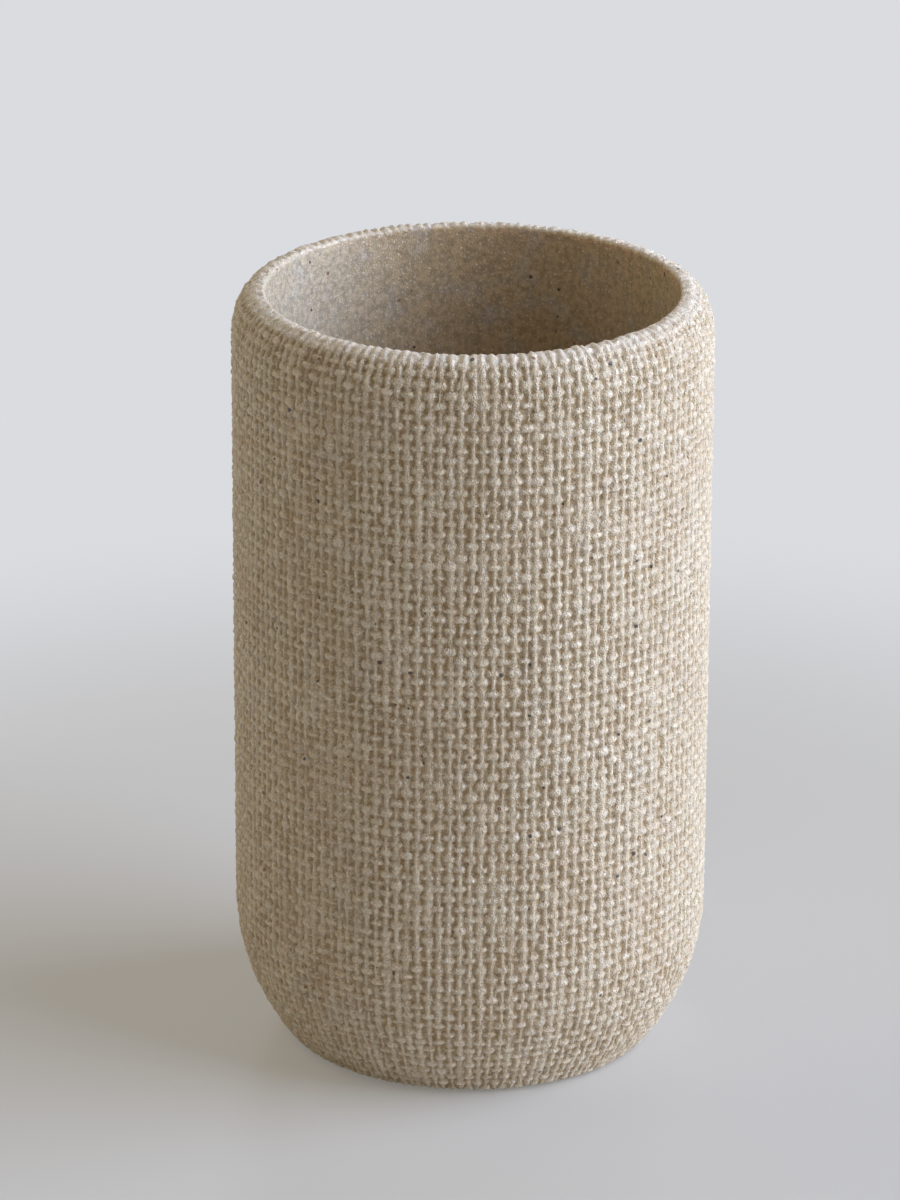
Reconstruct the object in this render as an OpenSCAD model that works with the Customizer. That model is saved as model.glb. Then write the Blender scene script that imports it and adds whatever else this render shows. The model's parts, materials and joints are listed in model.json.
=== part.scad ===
// Bathroom tumbler cast in sand-filled resin, standing on small foam pads.
// The origin is on the shelf, under the centre of the cup. +Z is up.

/* [Cup] */
// Outside diameter of the cup, over the crests of its relief
cup_od = 75; // [62:0.5:95]
// Height from the shelf to the top of the rim
cup_h = 123.5; // [95:0.5:150]
// Thickness of the side wall
wall = 5.5; // [3.5:0.1:8]
// Thickness of the cup's floor over the base recess
floor_t = 7; // [4:0.1:14]
// Radius of the fillet between the inside wall and the floor
inner_fillet_r = 14; // [2:0.5:24]

/* [Rim] */
// How far down the outside the rim's rounding reaches
rim_round_h = 7.5; // [2:0.1:15]
// Radius of the small rounding on the rim's inner edge
rim_edge_r = 0.8; // [0.3:0.1:2]

/* [Base] */
// Radius of the large rounding between the wall and the base
corner_r = 36; // [12:0.5:45]
// How far the base edge lies in from the outside of the cup
base_inset = 8; // [3:0.1:11]
// Width of the ground ring between the base edge and the recess
land_w = 5; // [2:0.1:8]
// Gap between the ground ring and the shelf
stand_gap = 0.5; // [0.2:0.05:1.2]

/* [Foot pads] */
// Number of foam pads under the base
pad_count = 4; // [3:1:6]
// Diameter of a foam pad
pad_d = 10; // [6:0.5:13]
// Thickness of a foam pad
pad_t = 1.5; // [1.3:0.1:3]
// Smallest distance from a pad to the wall of the recess
pad_clear = 2; // [0.5:0.1:5]

/* [Pad adhesive] */
// How far an adhesive disc stays in from the edge of its pad
adhesive_inset = 0.5; // [0:0.1:2]
// Thickness of an adhesive disc
adhesive_t = 0.2; // [0.1:0.05:0.5]

/* [Hidden] */
$fn = 96;
// How far a cut runs past the face that it opens
overrun = 1;

outer_r = cup_od / 2;
bore_r = outer_r - wall;
// the rim's outer rounding takes all of the wall that the inner edge leaves
rim_round_w = wall - rim_edge_r;

base_r = outer_r - base_inset;
// the corner arc is tangent to the wall at its centre's height and is cut by the base plane
corner_x = outer_r - corner_r;
corner_z = stand_gap + sqrt(pow(corner_r, 2) - pow(base_r - corner_x, 2));

recess_r = base_r - land_w;
recess_top = pad_t + adhesive_t;
floor_top = recess_top + floor_t;
pad_ring_r = recess_r - pad_clear - pad_d / 2;
adhesive_d = pad_d - 2 * adhesive_inset;

// The turned outline of the cup as a solid of revolution, with no inside
module outer_outline() {
    difference() {
        translate([0, stand_gap]) square([outer_r, cup_h - stand_gap]);
        translate([outer_r - rim_round_w, cup_h - rim_round_h]) difference() {
            square([rim_round_w + overrun, rim_round_h + overrun]);
            scale([rim_round_w, rim_round_h]) circle(r = 1);
        }
        translate([corner_x, corner_z]) difference() {
            translate([0, -corner_z]) square([corner_r + overrun, corner_z]);
            circle(r = corner_r);
        }
    }
}

// The drinking space: a straight bore with a filleted floor
module inner_outline() {
    difference() {
        translate([0, floor_top]) square([bore_r, cup_h - floor_top + overrun]);
        translate([bore_r - inner_fillet_r, floor_top]) difference() {
            square(inner_fillet_r);
            translate([0, inner_fillet_r]) circle(r = inner_fillet_r);
        }
    }
    // the rounded inner edge of the rim
    translate([bore_r, cup_h - rim_edge_r]) difference() {
        translate([-overrun, 0]) square([rim_edge_r + overrun, rim_edge_r + overrun]);
        translate([rim_edge_r, 0]) circle(r = rim_edge_r);
    }
}

// The casting: cup, rounded rim, rounded base corner and the recess for the pads
module cast_body() {
    color([0.72, 0.65, 0.55]) rotate_extrude() difference() {
        outer_outline();
        inner_outline();
        square([recess_r, recess_top]);
    }
}

// Places a child on the pads' circle, at the place of pad n
module at_pad(n) {
    rotate((n - 0.5) * 360 / pad_count) translate([pad_ring_r, 0]) children();
}

// A non-slip foam disc that the cup stands on
module foot_pad(n) {
    color([0.86, 0.85, 0.82]) at_pad(n) cylinder(d = pad_d, h = pad_t);
}

// The adhesive disc between a foam pad and the recess
module pad_adhesive(n) {
    color([0.93, 0.91, 0.80]) at_pad(n) translate([0, 0, pad_t]) cylinder(d = adhesive_d, h = adhesive_t);
}

cast_body();
for (n = [1 : pad_count]) {
    foot_pad(n);
    pad_adhesive(n);
}
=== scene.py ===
import json
import math

import bpy
import numpy as np
from mathutils import Matrix, Vector


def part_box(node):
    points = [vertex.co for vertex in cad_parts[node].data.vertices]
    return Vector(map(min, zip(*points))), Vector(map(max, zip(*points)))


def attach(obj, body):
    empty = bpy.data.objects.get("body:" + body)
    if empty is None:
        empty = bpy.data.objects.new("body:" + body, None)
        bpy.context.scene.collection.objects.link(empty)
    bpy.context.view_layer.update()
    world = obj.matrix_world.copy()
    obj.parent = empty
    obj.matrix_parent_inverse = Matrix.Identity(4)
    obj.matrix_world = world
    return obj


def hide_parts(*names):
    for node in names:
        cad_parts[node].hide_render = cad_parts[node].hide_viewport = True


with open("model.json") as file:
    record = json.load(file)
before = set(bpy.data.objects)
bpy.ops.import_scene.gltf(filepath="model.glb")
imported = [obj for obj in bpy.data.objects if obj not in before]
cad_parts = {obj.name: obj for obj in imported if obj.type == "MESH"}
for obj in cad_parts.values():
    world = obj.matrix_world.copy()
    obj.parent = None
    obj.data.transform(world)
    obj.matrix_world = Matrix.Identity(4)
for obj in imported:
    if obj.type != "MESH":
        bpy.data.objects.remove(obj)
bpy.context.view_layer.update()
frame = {"nodes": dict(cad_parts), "record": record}

mm = 0.001
mounts = {mount["name"]: mount for mount in frame["record"]["mounts"]}
bpy.context.scene.view_settings.view_transform = "Standard"


# small helpers for meshes and shader nodes

def mix(a, b, share):
    return a + (b - a) * share


def smoothStep(low, high, x):
    t = np.clip((x - low) / (high - low), 0, 1)
    return t * t * (3 - 2 * t)


def softNoise(random, shape, reach):
    # white noise blurred by a Gaussian of that reach in samples; it wraps at every side and has spread 1
    noise = random.normal(size=shape)
    spectrum = np.fft.fftn(noise)
    for axis, width in enumerate(reach):
        wave = np.fft.fftfreq(shape[axis])
        side = [1] * len(shape)
        side[axis] = shape[axis]
        spectrum *= np.exp(-2 * (math.pi * width * wave) ** 2).reshape(side)
    soft = np.fft.ifftn(spectrum).real
    return (soft - soft.mean()) / soft.std()


def addNode(material, kind, inputs=None, **settings):
    node = material.node_tree.nodes.new(kind)
    for name, value in settings.items():
        setattr(node, name, value)
    for name, value in (inputs or {}).items():
        socket = node.inputs[name]
        if isinstance(value, bpy.types.NodeSocket):
            material.node_tree.links.new(value, socket)
        else:
            socket.default_value = value
    return node


def maths(material, operation, a, b=0.0):
    return addNode(material, "ShaderNodeMath", {0: a, 1: b}, operation=operation).outputs[0]


def spread(material, value, low, high, toLow=0.0, toHigh=1.0):
    # a smooth ramp from toLow to toHigh while value goes from low to high
    inputs = {"Value": value, "From Min": low, "From Max": high, "To Min": toLow, "To Max": toHigh}
    node = addNode(material, "ShaderNodeMapRange", inputs, interpolation_type="SMOOTHSTEP")
    return node.outputs["Result"]


def blendColour(material, share, a, b):
    node = addNode(material, "ShaderNodeMix", {"Factor": share}, data_type="RGBA")
    for socket, value in ((node.inputs[6], a), (node.inputs[7], b)):
        if isinstance(value, bpy.types.NodeSocket):
            material.node_tree.links.new(value, socket)
        else:
            socket.default_value = (*value, 1)
    return node.outputs[2]


def noiseAt(material, place, size, detail=2.0, roughness=0.5):
    inputs = {"Vector": place, "Scale": 1 / size, "Detail": detail, "Roughness": roughness}
    return addNode(material, "ShaderNodeTexNoise", inputs).outputs["Fac"]


def grainsAt(material, place, size):
    # one round grain in each cell of that size: how far it is, in cells, and two numbers of its own
    node = addNode(material, "ShaderNodeTexVoronoi", {"Vector": place, "Scale": 1 / size})
    own = addNode(material, "ShaderNodeSeparateColor", {"Color": node.outputs["Color"]})
    return node.outputs["Distance"], own.outputs[0], own.outputs[1]


def newMaterial(name):
    material = bpy.data.materials.new(name)
    material.use_nodes = True
    material.node_tree.nodes.clear()
    shader = addNode(material, "ShaderNodeBsdfPrincipled")
    output = addNode(material, "ShaderNodeOutputMaterial")
    material.node_tree.links.new(shader.outputs[0], output.inputs["Surface"])
    place = addNode(material, "ShaderNodeTexCoord").outputs["Object"]
    return material, shader, place


def addBump(material, shader, height, distance):
    bump = addNode(material, "ShaderNodeBump", {"Height": height, "Distance": distance, "Strength": 1.0})
    material.node_tree.links.new(bump.outputs[0], shader.inputs["Normal"])


# camera and light

camera = {
    "place": (0, -0.9086, 0.4190),
    "tilt": 20.93,               # degrees the view is tipped down
    "turn": 0.213,               # degrees the view is turned left
    "roll": 0.24,                # degrees the view is rolled
    "lens": 185.95,              # millimetres
    "sees": (0.01, 50),          # from this near to this far
}


def placeCamera(c):
    data = bpy.data.cameras.new("photoCamera")
    data.lens = c["lens"]
    data.clip_start, data.clip_end = c["sees"]
    view = bpy.data.objects.new("photoCamera", data)
    turn = Matrix.Rotation(math.radians(c["turn"]), 4, "Z")
    tilt = Matrix.Rotation(math.radians(90 - c["tilt"]), 4, "X")
    roll = Matrix.Rotation(math.radians(c["roll"]), 4, "Z")
    view.matrix_world = Matrix.Translation(c["place"]) @ turn @ tilt @ roll
    bpy.context.scene.collection.objects.link(view)
    bpy.context.scene.camera = view


studio = {
    "zenith": (0.112, 0.073, 0.037),
    "horizon": (0.484, 0.422, 0.298),
    "zenithFrom": 0.8,                  # from this height up, of 1, the sky is all zenith
    "backdrop": (0.70, 0.715, 0.745),   # what the camera sees behind the slab
    "aim": (0, 0, 0.07),                # where the windows face
}

# azimuth in degrees to the right of the camera, elevation in degrees, the rest in metres and watts
windows = {
    "window": {
        "azimuth": 82,
        "elevation": 26,
        "away": 1.3,
        "size": 1.3,
        "power": 28.0,
        "colour": (0.88, 0.995, 1.265),
    },
    "fill": {
        "azimuth": -115,
        "elevation": 38,
        "away": 1.3,
        "size": 1.2,
        "power": 3.7,
        "colour": (1.0, 0.915, 0.70),
    },
}


def seenRay(material):
    # 1 for what the camera, a reflection or a clear piece shows, 0 for light that falls on the object
    rays = addNode(material, "ShaderNodeLightPath").outputs
    seen = maths(material, "MAXIMUM", rays["Is Camera Ray"], rays["Is Glossy Ray"])
    return maths(material, "MAXIMUM", seen, rays["Is Transmission Ray"])


def lightStudio(s):
    world = bpy.data.worlds.new("studio")
    world.use_nodes = True
    links = world.node_tree.links
    sky = world.node_tree.nodes["Background"]
    way = addNode(world, "ShaderNodeTexCoord").outputs["Generated"]
    rise = addNode(world, "ShaderNodeSeparateXYZ", {0: way}).outputs["Z"]
    high = spread(world, rise, 0.0, s["zenithFrom"])
    links.new(blendColour(world, high, s["horizon"], s["zenith"]), sky.inputs["Color"])
    backdrop = addNode(world, "ShaderNodeBackground", {"Color": (*s["backdrop"], 1)})
    either = {0: seenRay(world), 1: sky.outputs[0], 2: backdrop.outputs[0]}
    swap = addNode(world, "ShaderNodeMixShader", either)
    links.new(swap.outputs[0], world.node_tree.nodes["World Output"].inputs["Surface"])
    bpy.context.scene.world = world


def hangWindow(name, w, aim):
    data = bpy.data.lights.new(name, "AREA")
    data.shape, data.size = "SQUARE", w["size"]
    data.energy, data.color = w["power"], w["colour"]
    window = bpy.data.objects.new(name, data)
    turn, rise = math.radians(w["azimuth"]), math.radians(w["elevation"])
    way = Vector((math.sin(turn) * math.cos(rise), -math.cos(turn) * math.cos(rise), math.sin(rise)))
    window.location = Vector(aim) + way * w["away"]
    window.rotation_euler = way.to_track_quat("Z", "Y").to_euler()
    window.visible_camera = False
    bpy.context.scene.collection.objects.link(window)


slab = {
    "half": 6.0,                  # metres from the middle to a side
    "colour": (0.735, 0.722, 0.70),
    "roughness": 0.32,
    "near": (0.45, 0.44, 0.41),   # mixed into what is seen of the slab near the object
    "nearShare": 0.38,
    "fadeFrom": 0.06,             # the slab turns into the backdrop between these distances
    "fadeTo": 0.24,
}


def laySlab(f, backdrop):
    mesh = bpy.data.meshes.new("slab")
    h = f["half"]
    mesh.from_pydata([(-h, -h, 0), (h, -h, 0), (h, h, 0), (-h, h, 0)], [], [(0, 1, 2, 3)])
    piece = bpy.data.objects.new("slab", mesh)
    bpy.context.scene.collection.objects.link(piece)
    material, shader, place = newMaterial("paleSlab")
    away = addNode(material, "ShaderNodeVectorMath", {0: place}, operation="LENGTH").outputs["Value"]
    far = spread(material, away, f["fadeFrom"], f["fadeTo"])
    seen = blendColour(material, far, f["near"], backdrop)
    share = spread(material, away, f["fadeFrom"], f["fadeTo"], f["nearShare"], 1.0)
    share = maths(material, "MULTIPLY", share, seenRay(material))
    shader.inputs["Base Color"].default_value = (*f["colour"], 1)
    shader.inputs["Roughness"].default_value = f["roughness"]
    shine = addNode(material, "ShaderNodeEmission", {"Color": seen, "Strength": 1.0})
    output = material.node_tree.nodes["Material Output"]
    either = {0: share, 1: shader.outputs[0], 2: shine.outputs[0]}
    swap = addNode(material, "ShaderNodeMixShader", either)
    material.node_tree.links.new(swap.outputs[0], output.inputs["Surface"])
    mesh.materials.append(material)


placeCamera(camera)
lightStudio(studio)
for name, pane in windows.items():
    hangWindow(name, pane, studio["aim"])
laySlab(slab, studio["backdrop"])
print("stage: camera, window light and slab are in place")


# the casting

barrelMount, boreMount = mounts["barrel"], mounts["cup_bore"]
castLow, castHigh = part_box("cast_body")


def spanOf(mount):
    half = mount["dims"]["length_mm"] * mm / 2
    return mount["pos_m"][2] - half, mount["pos_m"][2] + half


cup = {
    "outerR": barrelMount["dims"]["r_mm"] * mm,
    "boreR": boreMount["dims"]["r_mm"] * mm,
    "top": castHigh.z,
    "base": castLow.z,
    "barrel": spanOf(barrelMount),
    "bore": spanOf(boreMount),
    "cornerR": 36.0 * mm,         # the large rounding between wall and base
    "filletR": 14.0 * mm,         # inside, between wall and floor
    "landWidth": 5.0 * mm,        # the ground ring that ends at the recess
    "recessTop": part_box("pad_adhesive_1")[1].z,
    "groundDepth": 1.4 * mm,      # how far the woven corner runs on below the base, where it is ground off
    "groundStep": 0.3 * mm,       # from the ground ring to the first thread
    "landEdge": 0.25 * mm,        # broken edge of the recess
}

weave = {
    "columns": 142,                   # upright threads round the cup: even, so the weave closes
    "rowPitch": 1.70 * mm,            # from one level thread to the next
    "relief": 0.78 * mm,              # from the deepest valley to the highest crest
    "clip": (0.5, 99.8),              # percentiles of height that count as deepest and highest
    "columnSteps": 6,                 # mesh points to a column
    "rowSteps": 6,                    # mesh points to a row
    "coarser": 3,                     # smooth parts have this many times fewer points round the cup
    "seed": 7,
    # threads, with heights in a unit of their own
    "uprightHalf": 0.275,             # half width of an upright thread, in columns
    "uprightRise": 0.09,              # how far upright threads stand out
    "uprightWave": 0.08,              # how far an upright thread rises and dips
    "levelHalf": 0.28,                # half height of a level thread, in rows
    "levelWave": 0.245,               # how far a level thread rises and dips
    "levelDip": (0.31, 0.75),         # it dips between these distances from where it lies on top, in columns
    "roundness": 0.28,                # how far a thread falls away at its half width
    "uprightFlat": 2.3,               # 2 for round upright threads, more for flattened ones
    "levelFlat": 2.6,                 # the same for level threads
    "valley": -0.42,                  # where the resin between threads lies
    "softness": 0.03,                 # how softly threads run into each other
    # unevenness of the threads
    "wander": 0.050,                  # how far threads stray sideways
    "levelWander": 1.2,               # level threads stray this much more
    "slub": 0.21,                     # how much their thickness varies
    "lift": 0.04,                     # how much their height varies
    "uprightReach": (2.2, 1.4, 0.7),  # over how many rows their straying, thickness and height hold
    "levelReach": (1.6, 0.7, 1.5),    # the same for level threads, in columns
    "knotReach": (0.1, 0.6),          # a crossing's own height fades between these distances, in columns
    "drift": (0.04, 30.0),            # slower straying, and over how many rows
    "unequal": 0.022,                 # how much some upright threads stand out more than others
    # sand and resin
    "crumb": 0.055,                   # sand grains standing in the surface
    "crumbReach": 0.8,                # half width of a grain, in mesh points
    "lump": 0.04,                     # lumps wider than a thread
    "lumpReach": 2.2,                 # half width of a lump, in mesh points
    "lumpAway": 0.4,                  # how much of the lumps there is away from the rim
    "melt": 0.25,                     # how far the resin fills the weave in soft patches
    "meltReach": 2.5,                 # half width of such a patch, in threads
    "meltFrom": (0.6, 2.2),           # noise at which a patch starts and is full
    # over the rim
    "rimFrom": 4.4 * mm,              # before the rim's crest the level threads fade out between these two
    "rimTo": 0.6 * mm,
    "rimHalf": 0.35,                  # half width of an upright thread on the rim
    "rimWander": 1.6,                 # upright threads stray this much more there
    "rimValley": -0.40,               # resin between threads there
    "rimMelt": 0.50,                  # how much more of the rim is filled
    "rimTone": 0.62,                  # the rim's valleys are this much paler: less of the painted valley shade there
    "rimSink": 0.16,                  # how far level threads sink there
    "rimCrumb": 0.8,                  # how much of the sand grains stays there
    "fadeFrom": 0.4 * mm,             # this far past the rim's crest the relief starts to fade
    "fadeTo": 0.3 * mm,               # and this far past the rim's inner edge it is gone
    "pastEdge": 1.0 * mm,             # the fine rings of the mesh run on this far past that edge
    "toBore": 2.0 * mm,               # and from the last of them to the first coarse ring
}


def outlinePieces(c):
    # the cup's outline from under the base edge, up the outside, over the rim and down to the floor
    cornerPoints, straightPoints, arcPoints, floorPoints = 160, 40, 120, 20
    cornerX = c["outerR"] - c["cornerR"]
    drop = c["barrel"][0] - c["base"]
    meet = math.asin(drop / c["cornerR"])
    start = meet + c["groundDepth"] / c["cornerR"]
    turn = np.linspace(-start, 0, cornerPoints)
    corner = (cornerX + c["cornerR"] * np.cos(turn), c["barrel"][0] + c["cornerR"] * np.sin(turn))
    rise = np.linspace(c["barrel"][0], c["barrel"][1], straightPoints)
    wall = (np.full_like(rise, c["outerR"]), rise)
    edgeR = c["top"] - c["bore"][1]
    roundW = c["outerR"] - c["boreR"] - edgeR
    roundH = c["top"] - c["barrel"][1]
    turn = np.linspace(0, math.pi / 2, arcPoints)
    rim = (c["outerR"] - roundW + roundW * np.cos(turn), c["barrel"][1] + roundH * np.sin(turn))
    lip = (c["boreR"] + edgeR * (1 - np.sin(turn)), c["bore"][1] + edgeR * np.cos(turn))
    fall = np.linspace(c["bore"][1], c["bore"][0], straightPoints)
    bore = (np.full_like(fall, c["boreR"]), fall)
    fillet = (c["boreR"] - c["filletR"] * (1 - np.cos(turn)), c["bore"][0] - c["filletR"] * np.sin(turn))
    flat = np.linspace(c["boreR"] - c["filletR"], 0, floorPoints)
    ground = (flat, np.full_like(flat, c["bore"][0] - c["filletR"]))
    return {
        "corner": corner,
        "wall": wall,
        "rim": rim,
        "lip": lip,
        "bore": bore,
        "fillet": fillet,
        "floor": ground,
    }


def joinOutline(pieces):
    # one line with its length so far at each point, and the length at which each piece ends
    r = np.concatenate([piece[0] for piece in pieces.values()])
    z = np.concatenate([piece[1] for piece in pieces.values()])
    along = np.concatenate([[0], np.cumsum(np.hypot(np.diff(r), np.diff(z)))])
    counts = np.cumsum([len(piece[0]) for piece in pieces.values()])
    ends = {name: along[count - 1] for name, count in zip(pieces, counts)}
    keep = np.concatenate([[True], np.diff(along) > 1e-9])    # pieces share their end points
    return r[keep], z[keep], along[keep], ends


def outlineAt(outline, s):
    # places and outward normals at lengths s
    r, z, along, _ = outline
    step = 0.02 * mm
    before, after = np.clip(s - step, 0, along[-1]), np.clip(s + step, 0, along[-1])
    dr = np.interp(after, along, r) - np.interp(before, along, r)
    dz = np.interp(after, along, z) - np.interp(before, along, z)
    size = np.hypot(dr, dz)
    return np.interp(s, along, r), np.interp(s, along, z), dz / size, -dr / size


def placeAt(outline, at):
    r, z, _, _ = outlineAt(outline, np.array([at]))
    return r[0], z[0]


def threadHeights(w, rows, columns, rim):
    # height of the woven surface at rows x columns, both counted in threads: 0 in a valley, 1 on a crest
    random = np.random.default_rng(w["seed"])
    count = w["columns"]
    spare = 3       # threads beyond the last row
    levels = int(math.ceil(rows[-1])) + spare
    rowCount, columnCount = len(rows), len(columns)
    perRow, perColumn = w["rowSteps"], w["columnSteps"]
    apart = 0.01    # so short a reach that each thread has a noise of its own

    def uprightNoise(reach):
        return softNoise(random, (rowCount, count), (perRow * reach, apart))

    def levelNoise(reach):
        return softNoise(random, (levels, columnCount), (apart, perColumn * reach))

    onRim = rim[:, None]
    drift, driftReach = w["drift"]
    strayReach, widthReach, liftReach = w["uprightReach"]
    stray = uprightNoise(strayReach) * w["wander"] * (1 + w["rimWander"] * onRim)
    stray = stray + uprightNoise(driftReach) * drift
    width = 1 + uprightNoise(widthReach) * w["slub"]
    lift = uprightNoise(liftReach) * w["lift"] + uprightNoise(driftReach) * w["unequal"]
    strayReach, widthReach, liftReach = w["levelReach"]
    levelStray = levelNoise(strayReach) * w["wander"] * w["levelWander"]
    levelWidth = 1 + levelNoise(widthReach) * w["slub"]
    levelLift = levelNoise(liftReach) * w["lift"]
    knot = random.normal(size=(levels, count)) * w["lift"]
    v, u = rows[:, None], columns[None, :]
    half = mix(w["uprightHalf"], w["rimHalf"], onRim)
    heights = []
    nearColumn, nearRow = np.round(columns).astype(int), np.round(rows).astype(int)
    for side in (-1, 0, 1):
        thread = nearColumn + side
        own = thread % count
        across = (u - thread[None, :] - stray[:, own]) / (half * width[:, own])
        rise = w["uprightRise"] + w["uprightWave"] * np.cos(math.pi * (v + thread[None, :])) * (1 - onRim)
        heights.append(rise + lift[:, own] - w["roundness"] * np.abs(across) ** w["uprightFlat"])
    for side in (-1, 0, 1):
        thread = nearRow + side
        own = thread % levels
        across = (v - thread[:, None] - levelStray[own, :]) / (w["levelHalf"] * levelWidth[own, :])
        odd = (nearColumn[None, :] + thread[:, None] + 1) % 2
        over = nearColumn[None, :] + odd * np.where(u < nearColumn, -1, 1)
        off = np.abs(u - over)
        rise = w["levelWave"] * (1 - 2 * smoothStep(*w["levelDip"], off)) - w["rimSink"] * onRim
        nearKnot = 1 - smoothStep(*w["knotReach"], off)
        rise += levelLift[own, :] + knot[own[:, None], over % count] * nearKnot
        heights.append(rise - w["roundness"] * np.abs(across) ** w["levelFlat"])
    valley = mix(w["valley"], w["rimValley"], onRim)
    filled = w["uprightRise"] - w["roundness"] / 2
    patch = (perRow * w["meltReach"], perColumn * w["meltReach"])
    melted = softNoise(random, (rowCount, columnCount), patch)
    share = smoothStep(*w["meltFrom"], melted + onRim * w["rimMelt"]) * w["melt"]
    heights.append(mix(valley, filled, share))
    top = np.max(heights, axis=0)
    blended = sum(np.exp((height - top) / w["softness"]) for height in heights)
    surface = top + w["softness"] * np.log(blended)
    crumbs = softNoise(random, surface.shape, (w["crumbReach"], w["crumbReach"]))
    surface += crumbs * w["crumb"] * mix(1, w["rimCrumb"], onRim)
    lumps = softNoise(random, surface.shape, (w["lumpReach"], w["lumpReach"]))
    surface += lumps * w["lump"] * (w["lumpAway"] + onRim)
    low, high = np.percentile(surface, w["clip"])
    return np.clip((surface - low) / (high - low), 0, 1)


def ringOf(zone, at, place, count, tone, bare=1.0, rimWearAndLight=0.0):
    # count points round the axis at that radius and level; at is how far along its zone the ring lies
    turn = 2 * math.pi * np.arange(count) / count - math.pi / 2
    radius, level = (np.broadcast_to(part, count) for part in place)
    return {
        "zone": zone,
        "at": at,
        "points": np.stack([radius * np.cos(turn), radius * np.sin(turn), level], 1),
        "tone": np.broadcast_to(tone, count),
        "bare": np.full(count, bare),
        "rimWearAndLight": np.full(count, rimWearAndLight),
    }


def castRings(c, w, smooth):
    # rings of points from the middle under the base to the middle of the cup's floor
    outline = joinOutline(outlinePieces(c))
    ends = outline[3]
    fine = w["columns"] * w["columnSteps"]
    coarse = fine // w["coarser"]
    wovenEnd = ends["lip"] + w["pastEdge"]
    rowCount = int(wovenEnd / w["rowPitch"] * w["rowSteps"])
    s = np.linspace(0, wovenEnd, rowCount)
    rows, columns = s / w["rowPitch"], np.arange(fine) / w["columnSteps"]
    rim = smoothStep(ends["rim"] - w["rimFrom"], ends["rim"] - w["rimTo"], s)
    height = threadHeights(w, rows, columns, rim)
    woven = 1 - smoothStep(ends["rim"] + w["fadeFrom"], ends["lip"] + w["fadeTo"], s)
    depth = (1 - height) * w["relief"] * woven[:, None]
    r, z, outR, outZ = (part[:, None] for part in outlineAt(outline, s))
    wovenR = r - outR * depth
    wovenZ = np.maximum(z - outZ * depth, c["base"])
    # tone for the colour: on the rim the valleys get less painted shade
    paler = mix(height, mix(w["rimTone"], 1, height), rim[:, None])
    relief = mix(smooth, paler, woven[:, None])

    # the recess, its wall, and the ground ring; on the flat map the last two lie further out
    wallOut, groundOut = 1.0 * mm, 1.4 * mm
    recessShares = (0.06, 0.3, 0.55, 0.8, 0.97)
    base, edge = c["base"], c["landEdge"]
    drop = c["barrel"][0] - base
    baseR = c["outerR"] - c["cornerR"] + c["cornerR"] * math.cos(math.asin(drop / c["cornerR"]))
    recessR = baseR - c["landWidth"]
    landR = wovenR[0].min() - c["groundStep"]
    middleR = mix(recessR, landR, 0.5)
    under = [(recessR * share, recessR * share, c["recessTop"]) for share in recessShares]
    under += [
        (recessR, recessR, c["recessTop"] - edge),
        (recessR + wallOut, recessR, base + edge),
        (recessR + groundOut, recessR + edge, base),
        (middleR + groundOut, middleR, base),
        (landR + groundOut, landR, base),
    ]
    rings = [ringOf("under", at, (radius, level), coarse, smooth) for at, radius, level in under]
    underReach = wovenR[0].mean() + groundOut

    # the weave
    for k in range(rowCount):
        place = wovenR[k], wovenZ[k]
        rings.append(ringOf("outside", s[k], place, fine, relief[k], 1 - woven[k], rim[k] * woven[k]))

    # the bore, its fillet and the floor
    boreRings, filletRings = 48, 13
    floorShares = (0.8, 0.55, 0.3, 0.06)
    inside = list(np.linspace(wovenEnd + w["toBore"], ends["bore"], boreRings))
    inside += list(np.linspace(ends["bore"], ends["fillet"], filletRings + 1)[1:])
    inside += [mix(ends["floor"], ends["fillet"], share) for share in floorShares]
    for at in inside:
        rings.append(ringOf("inside", at, placeAt(outline, at), coarse, smooth))
    return rings, ends, underReach, wovenEnd


def unwrapPlans(ends, underReach, wovenEnd, c):
    # where each zone lies on the flat map: the outside as a band all round, the inside as a narrower band
    # above it, and the underside as a disc beside that
    top, gap, insideWide = 0.98, 0.01, 0.74
    discX, discUp, discR = 0.87, 0.15, 0.12
    around = 2 * math.pi * c["outerR"]
    bandHigh = wovenEnd / around
    insideHigh = top - bandHigh - gap

    def outside(at, turn):
        return turn, at / around

    def inside(at, turn):
        share = (at - wovenEnd) / (ends["floor"] - wovenEnd)
        return turn * insideWide, bandHigh + gap + share * insideHigh

    def under(at, turn):
        angle, radius = turn * 2 * math.pi, discR * at / underReach
        return discX + radius * np.cos(angle), bandHigh + discUp + radius * np.sin(angle)

    return {"outside": outside, "inside": inside, "under": under}


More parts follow.
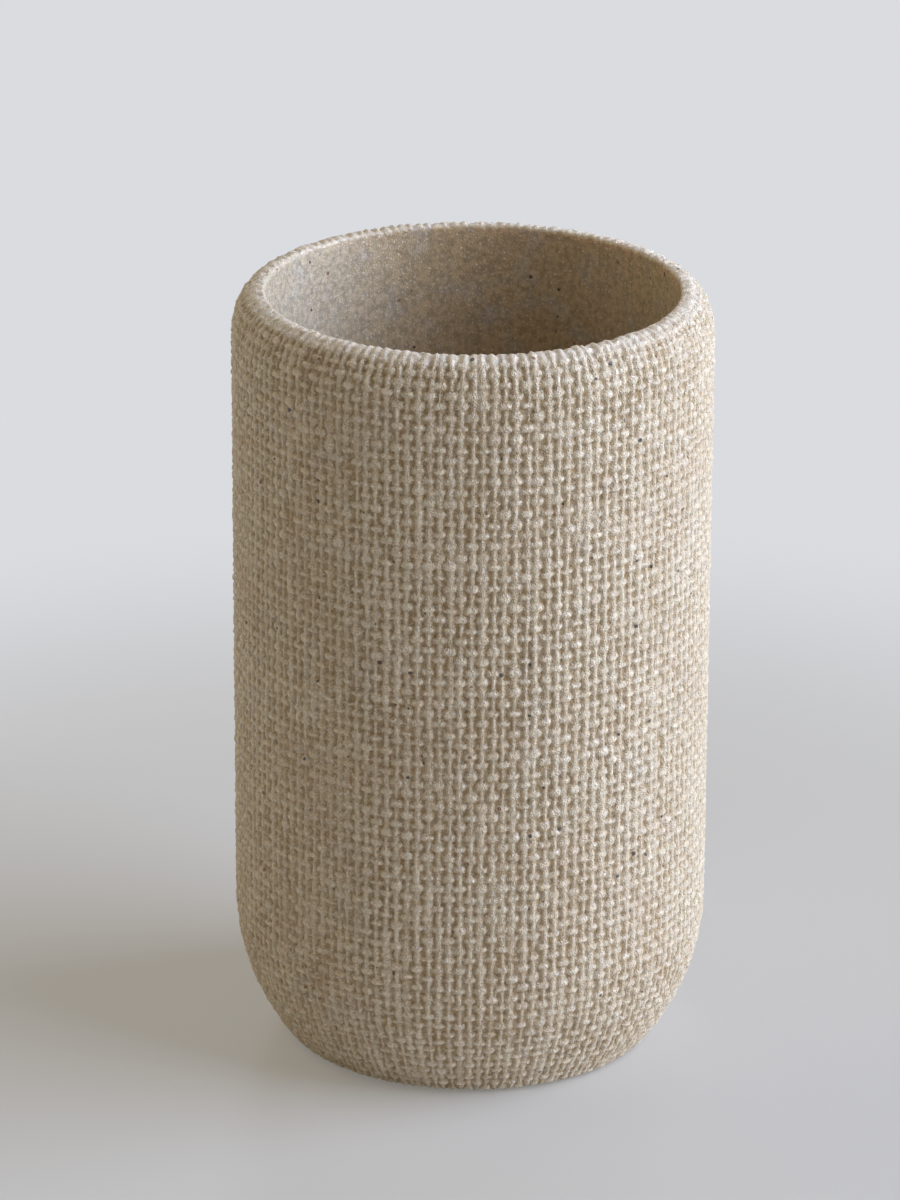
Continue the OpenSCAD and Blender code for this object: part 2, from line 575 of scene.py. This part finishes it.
def stitchRings(rings, plans, middles):
    # faces between rings and their corners on the flat map; a ring may be several times as fine as the next
    starts = np.cumsum([0] + [len(ring["points"]) for ring in rings])
    lastStep = 0.4 * mm    # on the map, from the last ring under the base to the first thread
    faces, corners = [], []

    def side(ring, start, count, at):
        # point numbers, turns and lengths of what each of count faces takes of a ring
        total = len(ring["points"])
        each = total // count
        steps = np.arange(count) * each
        return [(start + (steps + i) % total, (steps + i) / total, at) for i in range(each + 1)]

    def addFaces(loop, plan):
        faces.append(np.stack([numbers for numbers, _, _ in loop], 1))
        spots = [np.stack(np.broadcast_arrays(*plan(at, turn)), 1) for _, turn, at in loop]
        corners.append(np.stack(spots, 1))

    for k, (a, b) in enumerate(zip(rings, rings[1:])):
        zone = "under" if a["zone"] == "under" else "inside" if b["zone"] == "inside" else "outside"
        count = min(len(a["points"]), len(b["points"]))
        atB = a["at"] + lastStep if zone == "under" and b["zone"] != zone else b["at"]
        low = side(a, starts[k], count, a["at"])
        high = side(b, starts[k + 1], count, atB)
        addFaces(low + high[::-1], plans[zone])

    # fans from the two middle points, which are numbered after all rings
    for k, ring, way in ((0, rings[0], -1), (1, rings[-1], 1)):
        count = len(ring["points"])
        loop = side(ring, starts[-2] if k else 0, count, ring["at"])[::way]
        loop.append((np.full(count, starts[-1] + k), (np.arange(count) + 0.5) / count, middles[k]))
        addFaces(loop, plans[ring["zone"]])
    return faces, corners


def castCup(c, w, smooth):
    rings, ends, underReach, wovenEnd = castRings(c, w, smooth)
    plans = unwrapPlans(ends, underReach, wovenEnd, c)
    faces, corners = stitchRings(rings, plans, (0.0, ends["floor"]))
    middles = [(0, 0, c["recessTop"]), (0, 0, c["bore"][0] - c["filletR"])]
    points = np.concatenate([ring["points"] for ring in rings] + [middles])
    mesh = bpy.data.meshes.new("wovenCup")
    mesh.from_pydata(points.tolist(), [], [face for block in faces for face in block.tolist()])
    mapped = mesh.uv_layers.new(name="OFBake")
    mapped.data.foreach_set("uv", np.concatenate([block.reshape(-1, 2) for block in corners]).ravel())
    for name, key, middle in (("relief", "tone", smooth), ("bare", "bare", 1), ("rimWearAndLight", "rimWearAndLight", 0)):
        values = np.concatenate([ring[key] for ring in rings] + [[middle, middle]])
        mesh.attributes.new(name, "FLOAT", "POINT").data.foreach_set("value", values.astype(np.float32))
    mesh.polygons.foreach_set("use_smooth", np.ones(len(mesh.polygons), bool))
    mesh.update()
    piece = bpy.data.objects.new("wovenCup", mesh)
    bpy.context.scene.collection.objects.link(piece)
    return piece


# a pair with no note of its own is for the weave and for the smooth inside
resin = {
    # colours by thread height: the darker valleys are painted shade between the threads, the paler crests
    # partly wear
    "crest": (0.655, 0.564, 0.42),
    "valley": (0.415, 0.298, 0.157),
    "reliefFrom": (0.12, 0.95),           # heights at which it is all valley and all crest
    "smooth": 0.38,                       # where the smooth inside and the base lie between valley and crest
    "rimWearAndLight": (0.73, 0.66, 0.56),           # the rim, paler: partly wear from handling, partly painted light on its upward-facing top
    "rimWearAndLightShare": 0.58,
    "warm": (0.50, 0.37, 0.235),          # tan clouds
    "warmSize": 15.0 * mm,
    "warmFrom": (0.45, 0.70),             # noise at which a cloud starts and is full
    "warmShare": 0.30,
    "cool": (0.47, 0.475, 0.48),          # blue-grey clouds
    "coolSize": 6.0 * mm,
    "coolFrom": (0.52, 0.70),             # noise at which a cloud starts and is full
    "coolShare": (0.10, 0.40),
    "litGreyPatch": (0.62, 0.575, 0.475),         # a paler, greyer patch on the inside wall where the window light falls: partly painted light, partly grey colour
    "litGreyPatchAt": (-30.0 * mm, 10.0 * mm, 112.0 * mm),
    "litGreyPatchReach": (8.0 * mm, 36.0 * mm),   # full within the first distance, gone at the second
    "litGreyPatchShare": 0.5,
    "mottleSize": 0.9 * mm,               # soft mottles
    "mottleFrom": (0.35, 0.65),           # noise of the darkest and of the lightest
    "mottle": (0.05, 0.18),
    "grainSize": 0.34 * mm,               # sand grains
    "grainFrom": (0.05, 0.95),            # a grain's own number, for the darkest and for the lightest
    "grainContrast": (0.12, 0.07),
    "grainEdge": (0.62, 0.10),            # a grain rises between these distances from its middle, in cells
    "grainLeast": 0.4,                    # height of the lowest grain, to which a grain's own number is added
    "grainHeight": 0.14 * mm,
    "grainRise": (1.0, 0.25),
    "wornRise": 0.5,                      # how much of a grain's height is left on the handled rim
    "paleGrainAndGlint": (0.88, 0.86, 0.81),
    "quartzFrom": (0.78, 0.96),           # a grain's own number, to start being and to be a clear quartz grain, drawn pale: partly painted glints
    "quartzShare": (0.22, 0.14),
    "glossFrom": (0.70, 0.96),            # and to start being and to be glossy
    "quartzRoughness": 0.16,
    "dotSize": 0.62 * mm,                 # bigger pale grains, partly painted glints
    "dotEdge": (0.42, 0.18),              # they fade in between these distances from their middle, in cells
    "dotFrom": (0.35, 0.9),               # a dot's own number, to start showing and to show fully
    "dotShare": (0.32, 0.42),
    "speck": (0.030, 0.027, 0.026),
    "rust": (0.24, 0.12, 0.055),
    "rustFrom": 0.60,                     # specks whose own number is over this are rust
    "speckGap": 2.3 * mm,
    "speckReach": (0.028, 0.16),          # radius of the smallest and the rare largest speck, in gaps
    "speckRare": 3.0,                     # the higher, the rarer the large ones are
    "speckShare": 0.88,
    "roughness": (0.58, 0.45),
    "specular": 0.8,
    "glowTint": (1.0, 0.68, 0.42),        # light that passes through the resin
    "glow": (0.30, 0.36),
    "glowDepth": (1.1 * mm, 4.0 * mm),
}


def sandResin(look):
    material, shader, place = newMaterial("sandResin")
    relief = addNode(material, "ShaderNodeAttribute", attribute_name="relief").outputs["Fac"]
    bare = addNode(material, "ShaderNodeAttribute", attribute_name="bare").outputs["Fac"]
    rimWearAndLight = addNode(material, "ShaderNodeAttribute", attribute_name="rimWearAndLight").outputs["Fac"]

    def byZone(pair):
        return spread(material, bare, 0.0, 1.0, *pair)

    def ifIn(value, levels, share):
        return maths(material, "MULTIPLY", spread(material, value, *levels), share)

    def swing(value, levels, pair):
        return maths(material, "MULTIPLY", spread(material, value, *levels, -1.0, 1.0), byZone(pair))

    # colour by thread height, with painted shade in the valleys; the rim paler from wear and painted light;
    # clouds; a paler patch of painted window light inside
    # darker in the valleys: painted shade; paler on the crests: partly wear
    colour = spread(material, relief, *look["reliefFrom"])
    colour = blendColour(material, colour, look["valley"], look["crest"])
    # paler rim: partly wear, partly painted light on its upward-facing top
    wearAndLight = spread(material, rimWearAndLight, 0.0, 1.0, 0.0, look["rimWearAndLightShare"])
    colour = blendColour(material, wearAndLight, colour, look["rimWearAndLight"])
    cloud = noiseAt(material, place, look["warmSize"], detail=3.0)
    cloud = ifIn(cloud, look["warmFrom"], look["warmShare"])
    colour = blendColour(material, cloud, colour, look["warm"])
    cloud = noiseAt(material, place, look["coolSize"], detail=4.0, roughness=0.6)
    cloud = ifIn(cloud, look["coolFrom"], byZone(look["coolShare"]))
    colour = blendColour(material, cloud, colour, look["cool"])
    # a paler, greyer patch where the window light falls inside: partly painted light
    off = {0: place, 1: look["litGreyPatchAt"]}
    off = addNode(material, "ShaderNodeVectorMath", off, operation="DISTANCE").outputs["Value"]
    full, gone = look["litGreyPatchReach"]
    litGreyPatch = spread(material, off, gone, full, 0.0, look["litGreyPatchShare"])
    colour = blendColour(material, maths(material, "MULTIPLY", litGreyPatch, bare), colour, look["litGreyPatch"])

    # sand grains, mottles, and pale grains that are partly painted glints
    away, own, other = grainsAt(material, place, look["grainSize"])
    shade = maths(material, "ADD", 1.0, swing(own, look["grainFrom"], look["grainContrast"]))
    soft = noiseAt(material, place, look["mottleSize"], detail=3.0)
    shade = maths(material, "ADD", shade, swing(soft, look["mottleFrom"], look["mottle"]))
    shade = {0: colour, "Scale": shade}
    colour = addNode(material, "ShaderNodeVectorMath", shade, operation="SCALE").outputs[0]
    # pale quartz grains: partly painted glints
    clear = ifIn(other, look["quartzFrom"], byZone(look["quartzShare"]))
    colour = blendColour(material, clear, colour, look["paleGrainAndGlint"])
    # bigger pale dots: partly painted glints
    paleDotAndGlint, pick, _ = grainsAt(material, place, look["dotSize"])
    paleDotAndGlint = ifIn(paleDotAndGlint, look["dotEdge"], spread(material, pick, *look["dotFrom"]))
    paleDotAndGlint = maths(material, "MULTIPLY", paleDotAndGlint, byZone(look["dotShare"]))
    colour = blendColour(material, paleDotAndGlint, colour, look["paleGrainAndGlint"])

    # dark specks
    near, size, kind = grainsAt(material, place, look["speckGap"])
    size = maths(material, "POWER", size, look["speckRare"])
    size = spread(material, size, 0.0, 1.0, *look["speckReach"])
    inside = maths(material, "LESS_THAN", near, size)
    tint = maths(material, "GREATER_THAN", kind, look["rustFrom"])
    tint = blendColour(material, tint, look["speck"], look["rust"])
    colour = blendColour(material, maths(material, "MULTIPLY", inside, look["speckShare"]), colour, tint)

    # gloss, and the height of the grains
    gloss = byZone(look["roughness"])
    roughness = spread(material, other, *look["glossFrom"], gloss, look["quartzRoughness"])
    dome = maths(material, "ADD", own, look["grainLeast"])
    dome = ifIn(away, look["grainEdge"], dome)
    dome = maths(material, "MULTIPLY", dome, byZone(look["grainRise"]))
    dome = maths(material, "MULTIPLY", dome, spread(material, rimWearAndLight, 0.0, 1.0, 1.0, look["wornRise"]))
    links = material.node_tree.links
    links.new(colour, shader.inputs["Base Color"])
    links.new(roughness, shader.inputs["Roughness"])
    links.new(byZone(look["glow"]), shader.inputs["Subsurface Weight"])
    links.new(byZone(look["glowDepth"]), shader.inputs["Subsurface Scale"])
    shader.inputs["Specular IOR Level"].default_value = look["specular"]
    shader.inputs["Subsurface Radius"].default_value = look["glowTint"]
    shader.subsurface_method = "RANDOM_WALK"
    addBump(material, shader, dome, look["grainHeight"])
    return material


wovenCup = castCup(cup, weave, resin["smooth"])
wovenCup.data.materials.append(sandResin(resin))
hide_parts("cast_body")
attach(wovenCup, "root")
print("casting:", len(wovenCup.data.polygons), "faces")


# foam pads and their adhesive

pads = {
    "count": sum(name.startswith("foot_pad_") for name in frame["nodes"]),
    "foam": (0.70, 0.69, 0.65),
    "foamRoughness": 0.85,
    "poreSize": 0.28 * mm,
    "poreEdge": (0.34, 0.12),     # a pore deepens between these distances from its middle, in cells
    "poreShade": 0.62,            # brightness of a pore against the foam: painted shade in the pores
    "poreDepth": 0.05 * mm,
    "glue": (0.78, 0.74, 0.58),
    "glueRoughness": 0.32,
    "cloudSize": 1.2 * mm,
    "cloudFrom": (0.3, 0.7),      # noise at which a cloud in the adhesive starts and is full
    "cloudShade": 0.85,           # brightness of a cloud against the adhesive
}


def shaded(colour, share):
    return tuple(share * part for part in colour)


def padFoam(look):
    material, shader, place = newMaterial("padFoam")
    away, _, _ = grainsAt(material, place, look["poreSize"])
    # pores drawn darker: painted shade in the pores
    pore = spread(material, away, *look["poreEdge"])
    colour = blendColour(material, pore, look["foam"], shaded(look["foam"], look["poreShade"]))
    material.node_tree.links.new(colour, shader.inputs["Base Color"])
    shader.inputs["Roughness"].default_value = look["foamRoughness"]
    addBump(material, shader, maths(material, "MULTIPLY", pore, -1.0), look["poreDepth"])
    return material


def padGlue(look):
    material, shader, place = newMaterial("padGlue")
    cloud = spread(material, noiseAt(material, place, look["cloudSize"]), *look["cloudFrom"])
    colour = blendColour(material, cloud, look["glue"], shaded(look["glue"], look["cloudShade"]))
    material.node_tree.links.new(colour, shader.inputs["Base Color"])
    shader.inputs["Roughness"].default_value = look["glueRoughness"]
    return material


finishes = {"foot_pad_": padFoam(pads), "pad_adhesive_": padGlue(pads)}
for name, node in frame["nodes"].items():
    for start, finish in finishes.items():
        if name.startswith(start):
            for slot in node.material_slots:
                slot.material = finish
print("pads:", pads["count"], "finished")
